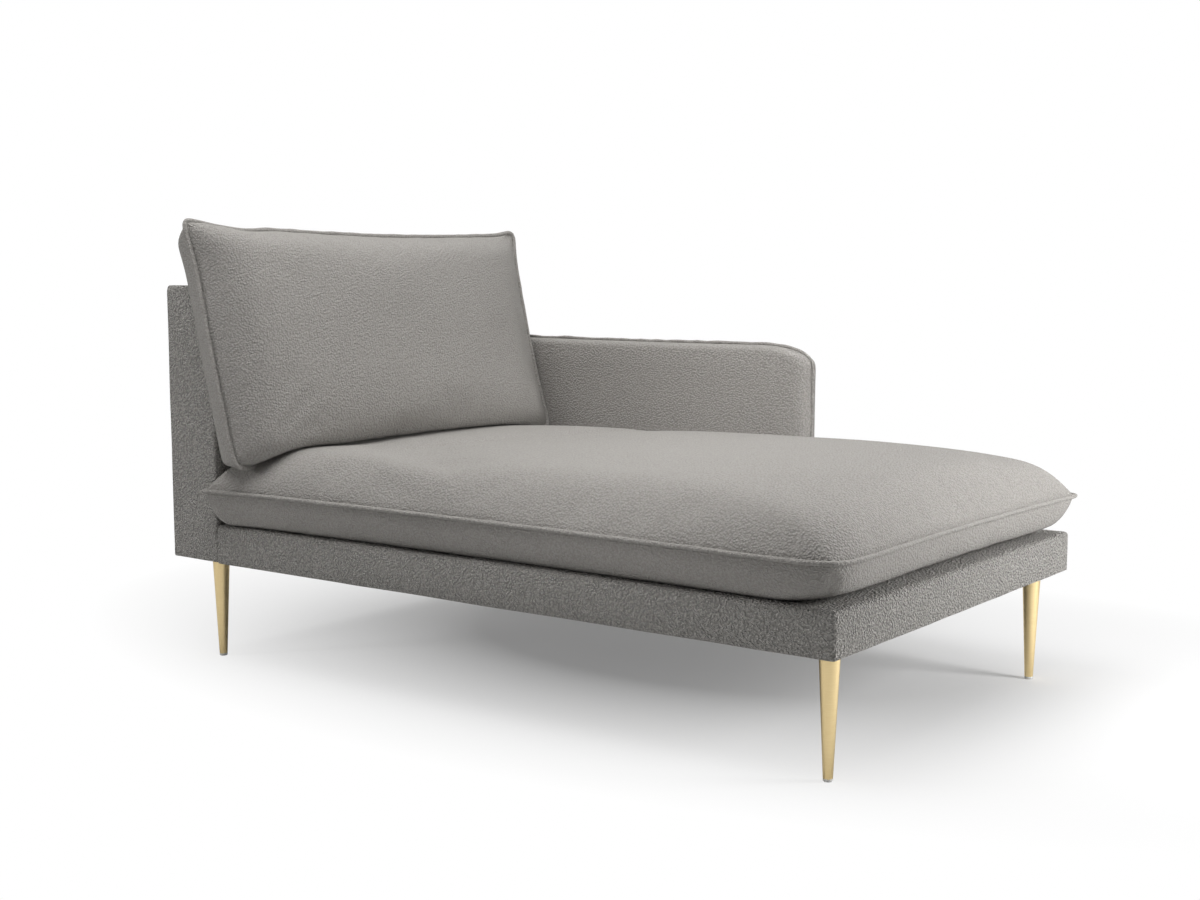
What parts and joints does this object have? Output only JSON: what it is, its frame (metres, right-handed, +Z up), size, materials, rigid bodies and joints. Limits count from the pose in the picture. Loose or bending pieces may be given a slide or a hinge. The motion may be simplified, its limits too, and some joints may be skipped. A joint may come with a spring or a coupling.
{
  "type": "chaise sofa",
  "caption": "Upholstered chaise: long padded base on tapered metal legs, back panel, one padded arm at the side, loose welted seat and back cushions in nubbly fabric.",
  "frame": {"origin": "On the floor, under the middle of the whole sofa's box", "axes": "+X is the arm side, to the sitter's left; +Y runs from the foot end to the back panel; +Z is up"},
  "size_m": [1.09, 1.541, 0.8903],
  "materials": {
    "boucle": "matte",
    "leg_metal": "satin",
    "glide_plastic": "matte",
    "zinc_steel": "satin",
    "timber": "matte",
    "hardboard": "matte",
    "webbing": "matte",
    "foam": "matte",
    "wadding": "matte",
    "dust_cloth": "matte"
  },
  "bodies": {
    "frame": {"leg_foot_left": "leg_metal", "leg_foot_right": "leg_metal", "leg_back_left": "leg_metal", "leg_back_right": "leg_metal", "leg_glides": "glide_plastic", "leg_studs": "zinc_steel", "back_bolts": "zinc_steel", "arm_bolts": "zinc_steel", "bolt_washers": "zinc_steel", "insert_nuts": "zinc_steel", "base_side_rail_left": "timber", "base_side_rail_right": "timber", "base_foot_rail": "timber", "base_head_rail": "timber", "base_corner_blocks": "timber", "base_stretchers": "timber", "base_cross_belts": "webbing", "base_long_belts": "webbing", "base_topper": "foam", "base_edge_pad": "foam", "base_cover": "boucle", "base_dust_cover": "dust_cloth", "back_bottom_rail": "timber", "back_stile_left": "timber", "back_stile_right": "timber", "back_top_rail": "timber", "back_middle_rail": "timber", "back_front_board": "hardboard", "back_rear_board": "hardboard", "back_front_foam": "foam", "back_rear_foam": "foam", "back_edge_foam": "foam", "back_cover": "boucle", "arm_bottom_rail": "timber", "arm_top_rail": "timber", "arm_front_post": "timber", "arm_rear_post": "timber", "arm_inner_board": "hardboard", "arm_outer_board": "hardboard", "arm_inner_foam": "foam", "arm_outer_foam": "foam", "arm_cover_inner": "boucle", "arm_cover_outer": "boucle", "arm_welt": "boucle"},
    "seat_cushion": {"seat_core": "foam", "seat_wadding": "wadding", "seat_cover_top": "boucle", "seat_cover_bottom": "boucle", "seat_welt": "boucle"},
    "back_cushion": {"back_cushion_core": "foam", "back_cushion_wadding": "wadding", "back_cushion_cover_front": "boucle", "back_cushion_cover_rear": "boucle", "back_cushion_welt": "boucle"}
  },
  "joints": [
    {"name": "seat_cushion_lift", "type": "slide", "parent": "frame", "child": "seat_cushion", "axis": [0, 0, 1], "range_m": [0, 0.5]},
    {"name": "back_cushion_lift", "type": "slide", "parent": "seat_cushion", "child": "back_cushion", "axis": [0, 0, 1], "range_m": [0, 0.45]}
  ]
}
